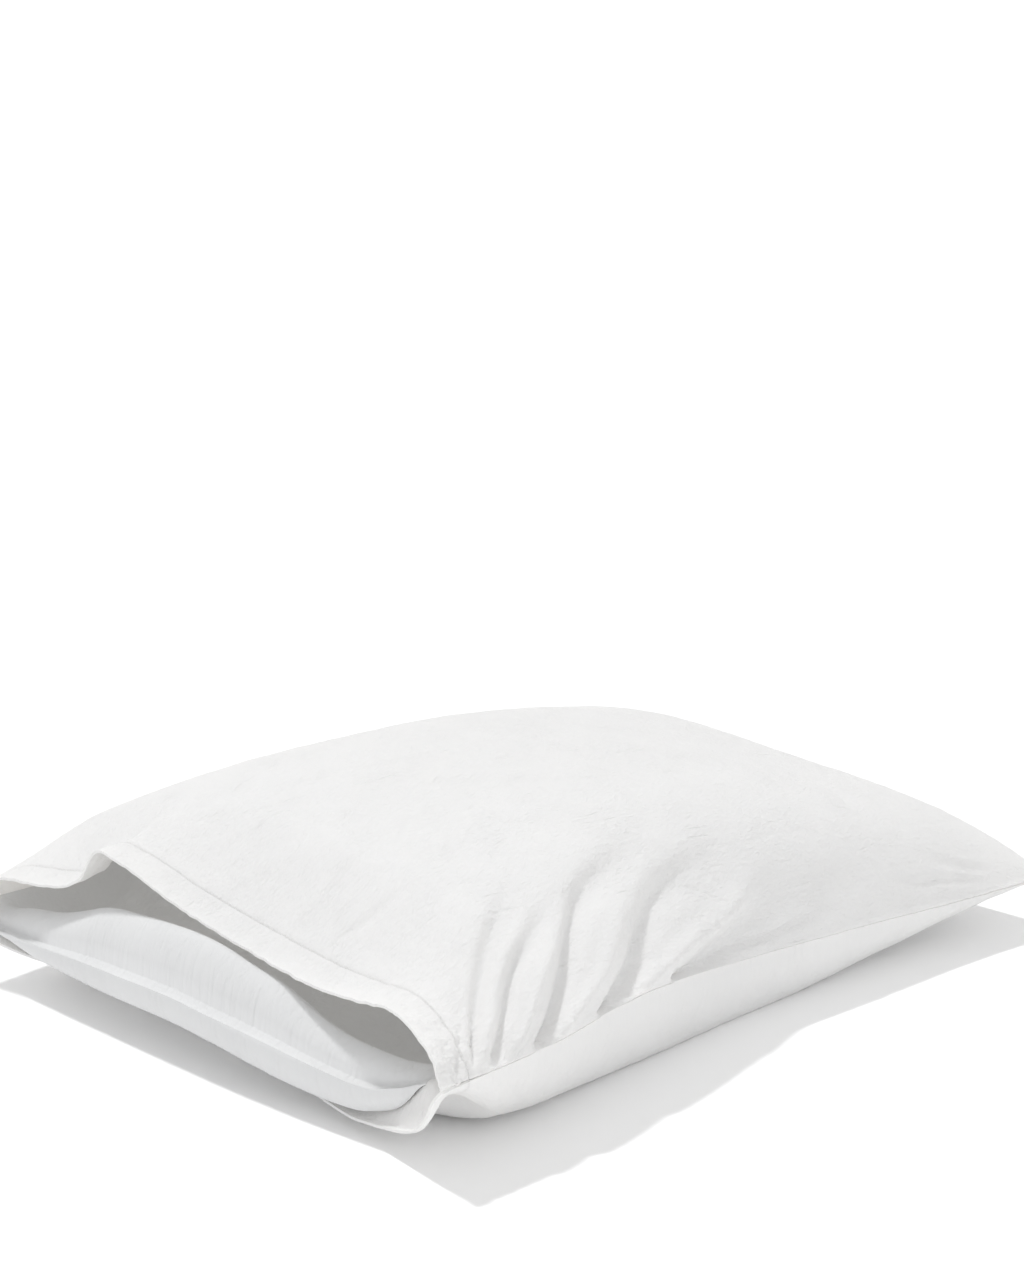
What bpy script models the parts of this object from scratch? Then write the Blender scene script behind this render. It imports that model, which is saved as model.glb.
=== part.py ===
# A cotton pillowcase drawn over a filled pillow, lying on a flat surface with its open, hemmed mouth
# towards -Y. The case is a top panel and a bottom panel joined by a seam along both sides and the far
# end; the end of the pillow swells out of the mouth. Metres, +Z up, the surface is z = 0.
import math

import bmesh
import bpy

# driving dimensions
HALF_LENGTH = 0.319       # mouth corners to the far corners, halved
END_DIP = 0.008           # the far end seam draws in at its middle
HEM_DRAW = 0.028          # the mouth draws back at its middle
HEM_WIDTH = 0.025         # turned hem, a double layer
CLOTH = 0.0014            # one layer with its crinkle
HEM_CLOTH = 0.0022        # thickness of the turned hem
SEAM_GAP = 0.0004         # between the two panels along the seam
SEAM_LIP = 0.003          # the panels' sewn edges lie flat together this far past the seam
CONTACT_GAP = 0.0005      # between the pillow and the case where they touch
SHOULDER_GAP = 0.004      # more room under the top panel's shoulders, where it gathers
FREE_SLOPE = 0.12         # the pillow lifts off the case's underside by this part of its height
EDGE_LIFT = 0.003         # and by this much more towards the mouth, the sides and the far end
LIFT_START = 0.09         # where that lift starts towards the far end
LIFT_RUN = 0.07           # and how far it takes
SIDE_ROOM = 0.016         # from the case's side seam to the edge of the pillow
END_ROOM = 0.018          # the same at the far end

# round shoulders, each as the power of the curve and how full it stands
NEAR_SIDE_ROUND = (4.75, 0.81)
HIDDEN_SIDE_ROUND = (3.0, 0.58)
FAR_END_ROUND = (1.675, 0.443)
BELLY_SIDE_ROUND = (6.0, 0.52)
BELLY_END_ROUND = (1.76, 0.68)
PILLOW_SIDE_ROUND = (8.0, 0.5)
PILLOW_END_ROUND = (2.0, 0.5)
CREST_END = 0.47          # part of the length where the crown starts down to the far end
PILLOW_ROUND_START = 0.8  # part of the length where the pillow's far end starts to round
LEAN = 0.21               # the crown leans towards the hidden side by this much

# the case along its length: part of the length from the mouth, then half width, seam height,
# crown height and how far the underside bellies below the seam
CASE_SECTIONS = [
    {"along": 0.00, "half_width": 0.2485, "seam": 0.0640, "crown": 0.115, "belly": 0.049},
    {"along": 0.15, "half_width": 0.2460, "seam": 0.0655, "crown": 0.139, "belly": 0.074},
    {"along": 0.30, "half_width": 0.2320, "seam": 0.0670, "crown": 0.153, "belly": 0.093},
    {"along": 0.50, "half_width": 0.2130, "seam": 0.0525, "crown": 0.156, "belly": 0.101},
    {"along": 0.65, "half_width": 0.2160, "seam": 0.0470, "crown": 0.152, "belly": 0.099},
    {"along": 0.75, "half_width": 0.2190, "seam": 0.0430, "crown": 0.150, "belly": 0.093},
    {"along": 0.85, "half_width": 0.2235, "seam": 0.0395, "crown": 0.153, "belly": 0.082},
    {"along": 1.00, "half_width": 0.2345, "seam": 0.0380, "crown": 0.160, "belly": 0.058},
]

# the top hem's edge, from the hidden corner to the near one, with its one tented fold
HEM_EDGE = [
    {"across": -0.2485, "height": 0.0640},
    {"across": -0.2140, "height": 0.0790},
    {"across": -0.1630, "height": 0.0840},
    {"across": -0.1360, "height": 0.0970},
    {"across": -0.1180, "height": 0.1185},
    {"across": -0.0950, "height": 0.1150},
    {"across": -0.0400, "height": 0.0980},
    {"across": 0.0340, "height": 0.0865},
    {"across": 0.1100, "height": 0.0835},
    {"across": 0.1530, "height": 0.0900},
    {"across": 0.1900, "height": 0.0950},
    {"across": 0.2210, "height": 0.0860},
    {"across": 0.2410, "height": 0.0730},
    {"across": 0.2485, "height": 0.0640},
]
HEM_FADE = 0.089          # from the mouth to where the hem's wave has gone

# the bottom hem's edge, lower towards the near corner
LIP_EDGE = [
    {"across": -0.2485, "height": 0.0635},
    {"across": -0.2350, "height": 0.0400},
    {"across": -0.2240, "height": 0.0330},
    {"across": -0.1990, "height": 0.0275},
    {"across": -0.1740, "height": 0.0262},
    {"across": -0.1240, "height": 0.0245},
    {"across": -0.0740, "height": 0.0232},
    {"across": -0.0250, "height": 0.0232},
    {"across": 0.0250, "height": 0.0205},
    {"across": 0.0740, "height": 0.0150},
    {"across": 0.1240, "height": 0.0095},
    {"across": 0.1490, "height": 0.0090},
    {"across": 0.1780, "height": 0.0138},
    {"across": 0.2004, "height": 0.0196},
    {"across": 0.2209, "height": 0.0288},
    {"across": 0.2371, "height": 0.0514},
    {"across": 0.2485, "height": 0.0635},
]
LIP_FADE = 0.060          # from the mouth to where the underside lies flat across

# how far the bottom panel rises just behind its drooping lip, under the pillow's plump corner
CORNER_RISE = [
    {"across": 0.1300, "rise": 0.0000},
    {"across": 0.1600, "rise": 0.0030},
    {"across": 0.1860, "rise": 0.0060},
    {"across": 0.2060, "rise": 0.0110},
    {"across": 0.2200, "rise": 0.0110},
    {"across": 0.2350, "rise": 0.0040},
    {"across": 0.2485, "rise": 0.0000},
]
RISE_RUN = 0.016          # from the lip to the top of that rise
RISE_FADE = 0.055         # and from there to where it has gone

# troughs between the gathers, each from its foot at the near side seam up to its head
GATHERS = [
    {"foot": (0.246, -0.290), "head": (0.146, -0.152), "bow": -0.008, "depth": 0.008, "width": 0.008},
    {"foot": (0.243, -0.262), "head": (0.174, -0.150), "bow": -0.006, "depth": 0.009, "width": 0.008},
    {"foot": (0.243, -0.236), "head": (0.150, -0.040), "bow": -0.010, "depth": 0.012, "width": 0.010},
    {"foot": (0.240, -0.186), "head": (0.158, 0.040), "bow": -0.003, "depth": 0.013, "width": 0.011},
    {"foot": (0.226, -0.090), "head": (0.182, 0.070), "bow": 0.000, "depth": 0.010, "width": 0.011},
]

GATHER_START = 0.15       # part of each trough's length where it deepens
GATHER_FADE = 0.7         # how soon it fades towards its head

# the pillow's end in the mouth: its sewn edge, the brow where its face turns over, its underside
PILLOW_END = [
    {"across": -0.2410, "edge": 0.0560, "brow": 0.0590, "chin": 0.0550},
    {"across": -0.2300, "edge": 0.0440, "brow": 0.0550, "chin": 0.0420},
    {"across": -0.1990, "edge": 0.0400, "brow": 0.0585, "chin": 0.0320},
    {"across": -0.1650, "edge": 0.0412, "brow": 0.0630, "chin": 0.0262},
    {"across": -0.1370, "edge": 0.0432, "brow": 0.0715, "chin": 0.0250},
    {"across": -0.1100, "edge": 0.0447, "brow": 0.0810, "chin": 0.0240},
    {"across": -0.0770, "edge": 0.0457, "brow": 0.0850, "chin": 0.0238},
    {"across": -0.0140, "edge": 0.0470, "brow": 0.0885, "chin": 0.0247},
    {"across": 0.0430, "edge": 0.0445, "brow": 0.0815, "chin": 0.0200},
    {"across": 0.0870, "edge": 0.0417, "brow": 0.0710, "chin": 0.0168},
    {"across": 0.1120, "edge": 0.0394, "brow": 0.0620, "chin": 0.0155},
    {"across": 0.1530, "edge": 0.0362, "brow": 0.0560, "chin": 0.0155},
    {"across": 0.1710, "edge": 0.0370, "brow": 0.0560, "chin": 0.0195},
    {"across": 0.1860, "edge": 0.0420, "brow": 0.0575, "chin": 0.0260},
    {"across": 0.1970, "edge": 0.0470, "brow": 0.0590, "chin": 0.0330},
    {"across": 0.2060, "edge": 0.0510, "brow": 0.0580, "chin": 0.0420},
    {"across": 0.2135, "edge": 0.0525, "brow": 0.0540, "chin": 0.0510},
]
PILLOW_EDGE_Y = -0.312    # the pillow's sewn edge at mid width, 22 mm out of the hem
PILLOW_EDGE_DRAW = 0.014  # that edge draws back towards the pillow's corners
PILLOW_SHIFT = 0.008      # the pillow's end lies this far towards the hidden corner
NEAR_CORNER_ROOM = 0.011  # more room beside its plump near corner
BROW_RUN = 0.022          # from the sewn edge to the brow, where the end face turns over
DIP_START = 0.017         # from the sewn edge to where its top starts down behind the brow
DIP_RUN = 0.052           # and to the hollow there
DIP = 0.034               # depth of that hollow
LEAST_DEPTH = 0.006       # which stays this far above the pillow's underside
FILL_START = 0.100        # from the sewn edge to where its top starts up out of the hollow
FILL_RUN = 0.230          # and to where it fills the case
BODY_RUN = 0.165          # from the sewn edge to where its edge lies along the case's seam
CHIN_RUN = 0.005          # from the sewn edge to the lowest part of the end's underside
CHIN_FADE = 0.045         # from the sewn edge to where the underside lies in the case

TOP_CELLS = (34, 34)
BOTTOM_CELLS = (16, 34)   # the two panels keep the same rows, so that their sewn edges match
PILLOW_CELLS = (24, 22)
SEWN_EDGE = 0.999         # a grid runs from -1 to 1, and past this it is at its edge
MERGE = 0.00002           # points nearer than this are one
CLOSE_ROWS = 0.66         # this part of the case's rows of cells
CLOSE_LENGTH = 0.42       # lies in this part of its length, from the mouth, where it is folded


def smooth(t):
    t = min(max(t, 0.0), 1.0)
    return t * t * (3 - 2 * t)


def table_curve(rows, key, column, place):
    # a smooth curve through one column of a table, by cubic pieces
    spots = [row[key] for row in rows]
    values = [row[column] for row in rows]
    slopes = [(values[i + 1] - values[i]) / (spots[i + 1] - spots[i]) for i in range(len(rows) - 1)]
    place = min(max(place, spots[0]), spots[-1])
    i = max(n for n in range(len(rows) - 1) if spots[n] <= place)
    before = slopes[max(i - 1, 0)]
    after = slopes[min(i + 1, len(slopes) - 1)]
    start_slope = (before + slopes[i]) / 2
    end_slope = (slopes[i] + after) / 2
    span = spots[i + 1] - spots[i]
    t = (place - spots[i]) / span
    return ((2 * t**3 - 3 * t**2 + 1) * values[i] + (t**3 - 2 * t**2 + t) * span * start_slope
            + (3 * t**2 - 2 * t**3) * values[i + 1] + (t**3 - t**2) * span * end_slope)


def section(column, y):
    return table_curve(CASE_SECTIONS, "along", column, (y + HALF_LENGTH) / (2 * HALF_LENGTH))


def mouth_y(u):
    return -HALF_LENGTH + HEM_DRAW * (1 - u * u)


def end_y(u):
    return HALF_LENGTH - SEAM_LIP - END_DIP * (1 - u * u)


def part_along(u, y):
    return min(max((y + HALF_LENGTH) / (end_y(u) + HALF_LENGTH), 0.0), 1.0)


def round_over(part, power, fullness):
    # 1 along the middle, falling to 0 at the edge with a round shoulder
    return max(1 - abs(part) ** power, 0.0) ** fullness


def gather_depth(x, y):
    total = 0.0
    for fold in GATHERS:
        (fx, fy), (hx, hy) = fold["foot"], fold["head"]
        length = math.hypot(hx - fx, hy - fy)
        along = ((x - fx) * (hx - fx) + (y - fy) * (hy - fy)) / length**2
        if along < 0 or along > 1:
            continue
        off = ((x - fx) * (hy - fy) - (y - fy) * (hx - fx)) / length
        off -= fold["bow"] * 4 * along * (1 - along)
        fade = smooth(along / GATHER_START) * (1 - along) ** GATHER_FADE
        total += fold["depth"] * fade * math.exp(-((off / fold["width"]) ** 2))
    return total


def layer(u, y):
    return HEM_CLOTH if y - mouth_y(u) < HEM_WIDTH else CLOTH


def top_height(u, y):
    along = part_along(u, y)
    seam = section("seam", y)
    crown = section("crown", y) - seam
    end_round = round_over(max(along - CREST_END, 0) / (1 - CREST_END), *FAR_END_ROUND)
    side_round = round_over(u, *(NEAR_SIDE_ROUND if u > 0 else HIDDEN_SIDE_ROUND))
    lean = 1 - LEAN * u * (1 - u * u) * along
    full = seam + crown * end_round * side_round * lean - gather_depth(u * section("half_width", y), y)
    hem = table_curve(HEM_EDGE, "across", "height", u * HEM_EDGE[-1]["across"])
    near_mouth = 1 - smooth((y - mouth_y(u)) / HEM_FADE)
    height = full * (1 - near_mouth) + hem * near_mouth
    return max(height, seam + SEAM_GAP / 2 + layer(u, y))


def bottom_height(u, y):
    along = part_along(u, y)
    belly = section("belly", y) * round_over(u, *BELLY_SIDE_ROUND) * round_over(along, *BELLY_END_ROUND)
    lip = table_curve(LIP_EDGE, "across", "height", u * LIP_EDGE[-1]["across"])
    near_mouth = 1 - smooth((y - mouth_y(u)) / LIP_FADE)
    height = max(section("seam", y) - belly, 0.0) * (1 - near_mouth) + lip * near_mouth
    run = y - mouth_y(u)
    rise = smooth(run / RISE_RUN) * (1 - smooth((run - RISE_RUN) / RISE_FADE))
    height += rise * table_curve(CORNER_RISE, "across", "rise", u * LIP_EDGE[-1]["across"])
    return min(height, section("seam", y) - SEAM_GAP / 2 - layer(u, y))


def row_place(run):
    if run < CLOSE_ROWS:
        return CLOSE_LENGTH * run / CLOSE_ROWS
    return CLOSE_LENGTH + (1 - CLOSE_LENGTH) * math.sin((run - CLOSE_ROWS) / (1 - CLOSE_ROWS) * math.pi / 2)


def on_case(a, b, cells, height):
    # the outermost cells at both sides and at the far end are the flat lip of the seam
    u = math.sin(min(abs(a) * cells[0] / (cells[0] - 2), 1.0) * math.pi / 2)
    u = math.copysign(u, a)
    run = min((b + 1) / 2 * cells[1] / (cells[1] - 1), 1.0)
    y = mouth_y(u) + (end_y(u) - mouth_y(u)) * row_place(run)
    x = u * section("half_width", y)
    z = height(u, y)
    if abs(a) > SEWN_EDGE:
        x += math.copysign(SEAM_LIP, a)
    if b > SEWN_EDGE:
        y += SEAM_LIP
    return x, y, z


def top_point(a, b):
    return on_case(a, b, TOP_CELLS, top_height)


def bottom_point(a, b):
    return on_case(a, b, BOTTOM_CELLS, bottom_height)


def pillow_point(a, b, side):
    # side is 1 for the upper half of the pillow and -1 for the lower half
    u = math.sin(a * math.pi / 2)
    near = PILLOW_EDGE_Y + PILLOW_EDGE_DRAW * u * u
    far = end_y(u) - END_ROOM
    run = (far - near) * (1 - math.cos((b + 1) * math.pi / 2)) / 2
    y = near + run
    half = section("half_width", y)
    x = u * (half - SIDE_ROOM)
    x -= (PILLOW_SHIFT + NEAR_CORNER_ROOM * smooth(u)) * (1 - smooth(run / BODY_RUN))
    case_u = x / half
    end = {column: table_curve(PILLOW_END, "across", column, x) for column in ("edge", "brow", "chin")}
    middle = end["edge"] + (section("seam", y) - end["edge"]) * smooth(run / BODY_RUN)
    if abs(a) > SEWN_EDGE or abs(b) > SEWN_EDGE:
        return x, y, middle
    far_part = max(run / (far - near) - PILLOW_ROUND_START, 0) / (1 - PILLOW_ROUND_START)
    edge_round = round_over(u, *PILLOW_SIDE_ROUND) * round_over(far_part, *PILLOW_END_ROUND)
    floor = bottom_height(case_u, max(y, mouth_y(case_u))) * (1 + FREE_SLOPE) + CLOTH + CONTACT_GAP
    floor += EDGE_LIFT * max(1 - smooth(run / BODY_RUN), smooth((y - LIFT_START) / LIFT_RUN), u**4)
    turn = min(run / CHIN_RUN, 1.0)
    face = end["edge"] - (end["edge"] - end["chin"]) * math.sqrt(1 - (1 - turn) ** 2)
    limit = max(face + (floor - face) * smooth((run - CHIN_RUN) / (CHIN_FADE - CHIN_RUN)), floor)
    if side > 0:
        ceiling = top_height(case_u, max(y, mouth_y(case_u)))
        ceiling -= HEM_CLOTH + CONTACT_GAP + SHOULDER_GAP * abs(u) ** 3
        turn = min(run / BROW_RUN, 1.0)
        face = end["edge"] + (end["brow"] - end["edge"]) * math.sqrt(1 - (1 - turn) ** 2)
        face -= DIP * smooth((run - DIP_START) / (DIP_RUN - DIP_START))
        face += (ceiling - face) * smooth((run - FILL_START) / (FILL_RUN - FILL_START))
        limit = max(min(face, ceiling), limit + LEAST_DEPTH)
    return x, y, middle + (limit - middle) * edge_round


def fabric(name, color, roughness):
    material = bpy.data.materials.new(name)
    material.use_nodes = True
    shader = material.node_tree.nodes["Principled BSDF"]
    shader.inputs["Base Color"].default_value = (*color, 1)
    shader.inputs["Roughness"].default_value = roughness
    shader.inputs["Metallic"].default_value = 0.0
    return material


def shaped_grid(bm, cells, place):
    # one sheet of cells, each point moved from the flat grid to its place on the form
    grid = bmesh.ops.create_grid(bm, x_segments=cells[0], y_segments=cells[1], size=1)
    for vert in grid["verts"]:
        vert.co = place(vert.co.x, vert.co.y)
    return grid["verts"]


def add_object(name, bm, material, collection):
    mesh = bpy.data.meshes.new(name)
    bm.to_mesh(mesh)
    bm.free()
    mesh.materials.append(material)
    mesh.shade_smooth()
    piece = bpy.data.objects.new(name, mesh)
    collection.objects.link(piece)
    return piece


def add_panel(name, cells, place, inward, material, collection):
    bm = bmesh.new()
    shaped_grid(bm, cells, place)
    if inward > 0:
        bmesh.ops.reverse_faces(bm, faces=bm.faces)
    panel = add_object(name, bm, material, collection)
    hem = panel.vertex_groups.new(name="hem")
    for vert in panel.data.vertices:
        u = min(max(vert.co.x / section("half_width", vert.co.y), -1.0), 1.0)
        hem.add([vert.index], layer(u, vert.co.y) / HEM_CLOTH, "REPLACE")
    sheet = panel.modifiers.new("cloth", "SOLIDIFY")
    sheet.thickness = HEM_CLOTH
    sheet.offset = -1
    sheet.vertex_group = "hem"
    return panel


def add_pillow(material, collection):
    bm = bmesh.new()
    lower = shaped_grid(bm, PILLOW_CELLS, lambda a, b: pillow_point(a, b, -1))
    bmesh.ops.reverse_faces(bm, faces=list({face for vert in lower for face in vert.link_faces}))
    shaped_grid(bm, PILLOW_CELLS, lambda a, b: pillow_point(a, b, 1))
    bmesh.ops.remove_doubles(bm, verts=bm.verts, dist=MERGE)
    corners = [face for face in bm.faces if sum(len(vert.link_edges) == 2 for vert in face.verts) == 1]
    bmesh.ops.poke(bm, faces=corners)
    return add_object("pillow", bm, material, collection)


def main():
    for old in list(bpy.data.objects):
        bpy.data.objects.remove(old)
    collection = bpy.data.collections.new("pillowcase_on_pillow")
    bpy.context.scene.collection.children.link(collection)
    white_cotton = fabric("white_washed_cotton", (0.86, 0.86, 0.85), 0.9)
    pillow_cover = fabric("pillow_cover", (0.80, 0.83, 0.84), 0.85)
    add_panel("top_panel", TOP_CELLS, top_point, -1, white_cotton, collection)
    add_panel("bottom_panel", BOTTOM_CELLS, bottom_point, 1, white_cotton, collection)
    add_pillow(pillow_cover, collection)


main()
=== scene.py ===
# The looks of a white washed cotton pillowcase on its pillow, on a pale floor in soft daylight.
# Lengths are in metres; x runs across the case, y from its open mouth to its closed end, z up.
import math

import bpy
import numpy as np
from mathutils import Matrix, Vector


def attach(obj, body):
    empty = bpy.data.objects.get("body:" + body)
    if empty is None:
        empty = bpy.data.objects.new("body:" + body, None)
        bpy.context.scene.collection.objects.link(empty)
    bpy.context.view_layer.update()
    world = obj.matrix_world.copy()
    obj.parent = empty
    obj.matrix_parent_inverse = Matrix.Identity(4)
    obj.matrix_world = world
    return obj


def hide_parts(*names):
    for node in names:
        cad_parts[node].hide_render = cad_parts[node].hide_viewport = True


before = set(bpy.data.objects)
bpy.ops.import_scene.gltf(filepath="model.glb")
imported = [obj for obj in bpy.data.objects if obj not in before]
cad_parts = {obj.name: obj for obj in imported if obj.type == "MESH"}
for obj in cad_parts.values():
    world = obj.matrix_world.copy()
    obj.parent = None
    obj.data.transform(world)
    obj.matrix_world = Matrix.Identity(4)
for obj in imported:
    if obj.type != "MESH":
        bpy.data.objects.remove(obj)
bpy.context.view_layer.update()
print("frame loaded")

case = {
    "halfLength": 0.319,     # mouth corners to the far corners, halved
    "endRoom": 0.003,        # the far seam lies this far inside that
    "endDip": 0.008,         # and draws in at its middle
    "hemDraw": 0.028,        # the mouth draws back at its middle
    "hemWidth": 0.0235,      # from the turned edge to its row of stitches
    "hemStep": 0.002,        # the second layer ends over this
    "hemCloth": 0.0018,      # the turned hem, two layers
    "cloth": 0.0010,         # one layer
    "smoothAngle": 50,       # degrees, so the cut edges of the cloth stay sharp
    "seamGap": 0.0001,       # between the two panels along the seam
    "seamTuck": 0.0007,      # the cloth turns in this far at the seam
    "seamWave": 0.0007,      # the sewn line runs up and down this much
    # (power, fullness) of its rounded sides and ends
    "nearSideRound": (4.75, 0.81),
    "hiddenSideRound": (3.0, 0.58),
    "farEndRound": (1.675, 0.443),
    "bellySideRound": (6.0, 0.52),
    "bellyEndRound": (1.76, 0.68),
    "crestEnd": 0.47,        # part of the length where the crown starts down to the far end
    "lean": 0.21,            # the crown leans towards the hidden side
    "hemFade": 0.089,        # from the mouth to where the top hem's wave has gone
    "lipFade": 0.060,        # and the bottom hem's
    "cornerStart": 0.004,    # behind the near corner's lip the bottom panel rises from here
    "cornerRun": 0.012,      # over this
    "cornerFade": 0.055,     # and has come down again over this
}

nearSteps = 26    # for measuring the cloth's length up from the near seam
# the sewn line's waves, each with its share of seamWave
seamWaves = [
    {"share": 0.6, "size": 0.031, "seed": 31},
    {"share": 0.4, "size": 0.012, "seed": 32},
]
crumpleShape = {
    "bend": 0.35,      # its waves are bent out of line by this part of their size
    "bendSize": 1.7,   # over this many times their size
    "blunt": 0.01,     # rounds the creases off
}


def table(names, rows):
    # a dictionary for each row
    return [dict(zip(names, row)) for row in rows]


# along the length, 0 at the mouth; the crown is a height, and the belly a depth below the seam
caseSections = table(("along", "halfWidth", "seam", "crown", "belly"), [
    (0.00, 0.2485, 0.0640, 0.115, 0.049),
    (0.15, 0.2460, 0.0655, 0.139, 0.074),
    (0.30, 0.2320, 0.0670, 0.153, 0.093),
    (0.50, 0.2130, 0.0525, 0.156, 0.101),
    (0.65, 0.2160, 0.0470, 0.152, 0.099),
    (0.75, 0.2190, 0.0430, 0.150, 0.093),
    (0.85, 0.2235, 0.0395, 0.153, 0.082),
    (1.00, 0.2345, 0.0380, 0.160, 0.058),
])

# the top hem's edge, with its tented fold, and the bottom hem's edge
topHemEdge = table(("across", "height"), [
    (-0.2485, 0.0640),
    (-0.2140, 0.0798),
    (-0.1630, 0.0850),
    (-0.1430, 0.0912),
    (-0.1330, 0.0982),
    (-0.1240, 0.1125),
    (-0.1185, 0.1195),
    (-0.0950, 0.1180),
    (-0.0400, 0.1020),
    (0.0340, 0.0900),
    (0.1100, 0.0860),
    (0.1530, 0.0910),
    (0.1900, 0.0975),
    (0.2210, 0.0905),
    (0.2410, 0.0780),
    (0.2485, 0.0640),
])
bottomHemEdge = table(("across", "height"), [
    (-0.2485, 0.0635),
    (-0.2350, 0.0400),
    (-0.2240, 0.0330),
    (-0.1990, 0.0275),
    (-0.1740, 0.0262),
    (-0.1240, 0.0245),
    (-0.0740, 0.0232),
    (-0.0250, 0.0232),
    (0.0250, 0.0205),
    (0.0500, 0.0180),
    (0.0740, 0.0150),
    (0.1000, 0.0118),
    (0.1240, 0.0095),
    (0.1490, 0.0090),
    (0.1660, 0.0116),
    (0.1780, 0.0138),
    (0.1924, 0.0173),
    (0.2004, 0.0196),
    (0.2129, 0.0244),
    (0.2209, 0.0288),
    (0.2301, 0.0396),
    (0.2371, 0.0514),
    (0.2485, 0.0635),
])

# how far the bottom panel rises just behind its hem's drooping lip, under the pillow's plump ear
cornerRise = table(("across", "rise"), [
    (0.1300, 0.0000),
    (0.1530, 0.0040),
    (0.1710, 0.0070),
    (0.1860, 0.0120),
    (0.1970, 0.0185),
    (0.2060, 0.0245),
    (0.2160, 0.0285),
    (0.2230, 0.0235),
    (0.2300, 0.0130),
    (0.2400, 0.0035),
    (0.2485, 0.0000),
])


def ease(t):
    t = np.clip(t, 0, 1)
    return t * t * (3 - 2 * t)


def curveThrough(rows, key, column, place):
    # a smooth curve through one column of a table
    spots = np.array([row[key] for row in rows])
    values = np.array([row[column] for row in rows])
    slopes = np.diff(values) / np.diff(spots)
    tangents = (np.append(slopes[:1], slopes) + np.append(slopes, slopes[-1:])) / 2
    place = np.clip(place, spots[0], spots[-1])
    i = np.clip(np.searchsorted(spots, place, side="right") - 1, 0, len(rows) - 2)
    span = spots[i + 1] - spots[i]
    t = (place - spots[i]) / span
    return ((2 * t**3 - 3 * t**2 + 1) * values[i] + (t**3 - 2 * t**2 + t) * span * tangents[i]
            + (3 * t**2 - 2 * t**3) * values[i + 1] + (t**3 - t**2) * span * tangents[i + 1])


def section(column, y):
    along = (y + case["halfLength"]) / (2 * case["halfLength"])
    return curveThrough(caseSections, "along", column, along)


def seamHeight(y):
    # the sewn line runs a little unevenly
    wave = sum(row["share"] * softWaves(y, 0 * y, row["size"], row["seed"]) for row in seamWaves)
    return section("seam", y) + case["seamWave"] * wave


def mouthLine(u):
    return -case["halfLength"] + case["hemDraw"] * (1 - u * u)


def endLine(u):
    return case["halfLength"] - case["endRoom"] - case["endDip"] * (1 - u * u)


def partAlong(u, y):
    return np.clip((y + case["halfLength"]) / (endLine(u) + case["halfLength"]), 0, 1)


def roundOver(part, power, fullness):
    # 1 along the middle, falling to 0 at the edge with a round shoulder
    return np.maximum(1 - np.abs(part) ** power, 0) ** fullness


def topForm(u, y):
    along = partAlong(u, y)
    seam = seamHeight(y)
    endPart = np.maximum(along - case["crestEnd"], 0) / (1 - case["crestEnd"])
    near = roundOver(u, *case["nearSideRound"])
    hidden = roundOver(u, *case["hiddenSideRound"])
    side = np.where(u > 0, near, hidden)
    lean = 1 - case["lean"] * u * (1 - u * u) * along
    full = seam + (section("crown", y) - seam) * roundOver(endPart, *case["farEndRound"]) * side * lean
    hem = curveThrough(topHemEdge, "across", "height", u * topHemEdge[-1]["across"])
    nearMouth = 1 - ease((y - mouthLine(u)) / case["hemFade"])
    return np.maximum(full * (1 - nearMouth) + hem * nearMouth, seam + case["seamGap"] / 2)


def fromNearSeam(u, y):
    # length of cloth from the near side seam up to each place
    half = section("halfWidth", y)
    total = np.zeros_like(y)
    lastX, lastZ = half, seamHeight(y)
    for share in np.linspace(0, 1, nearSteps)[1:]:
        part = 1 + (u - 1) * share * share    # finer steps by the seam
        nextX, nextZ = half * part, topForm(part, y)
        total = total + np.hypot(nextX - lastX, nextZ - lastZ)
        lastX, lastZ = nextX, nextZ
    return total


def bottomForm(u, y):
    along = partAlong(u, y)
    belly = section("belly", y) * roundOver(u, *case["bellySideRound"])
    belly = belly * roundOver(along, *case["bellyEndRound"])
    lip = curveThrough(bottomHemEdge, "across", "height", u * bottomHemEdge[-1]["across"])
    nearMouth = 1 - ease((y - mouthLine(u)) / case["lipFade"])
    height = np.maximum(seamHeight(y) - belly, 0) * (1 - nearMouth) + lip * nearMouth
    run = y - mouthLine(u)
    behind = run - case["cornerStart"]
    bulge = ease(behind / case["cornerRun"])
    bulge = bulge * (1 - ease((behind - case["cornerRun"]) / case["cornerFade"]))
    height = height + curveThrough(cornerRise, "across", "rise", u * cornerRise[-1]["across"]) * bulge
    return np.minimum(height, seamHeight(y) - case["seamGap"] / 2)


def smoothPath(points, steps=10):
    # a rounded line through a fold's few points
    p = np.array(points)
    p = np.vstack((2 * p[0] - p[1], p, 2 * p[-1] - p[-2]))
    line = []
    for i in range(1, len(p) - 2):
        for t in np.linspace(0, 1, steps, endpoint=False):
            line.append(0.5 * (2 * p[i] + (p[i + 1] - p[i - 1]) * t
                               + (2 * p[i - 1] - 5 * p[i] + 4 * p[i + 1] - p[i + 2]) * t * t
                               + (3 * p[i] - p[i - 1] - 3 * p[i + 1] + p[i + 2]) * t**3))
    line.append(p[-2])
    return np.array(line)


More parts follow.
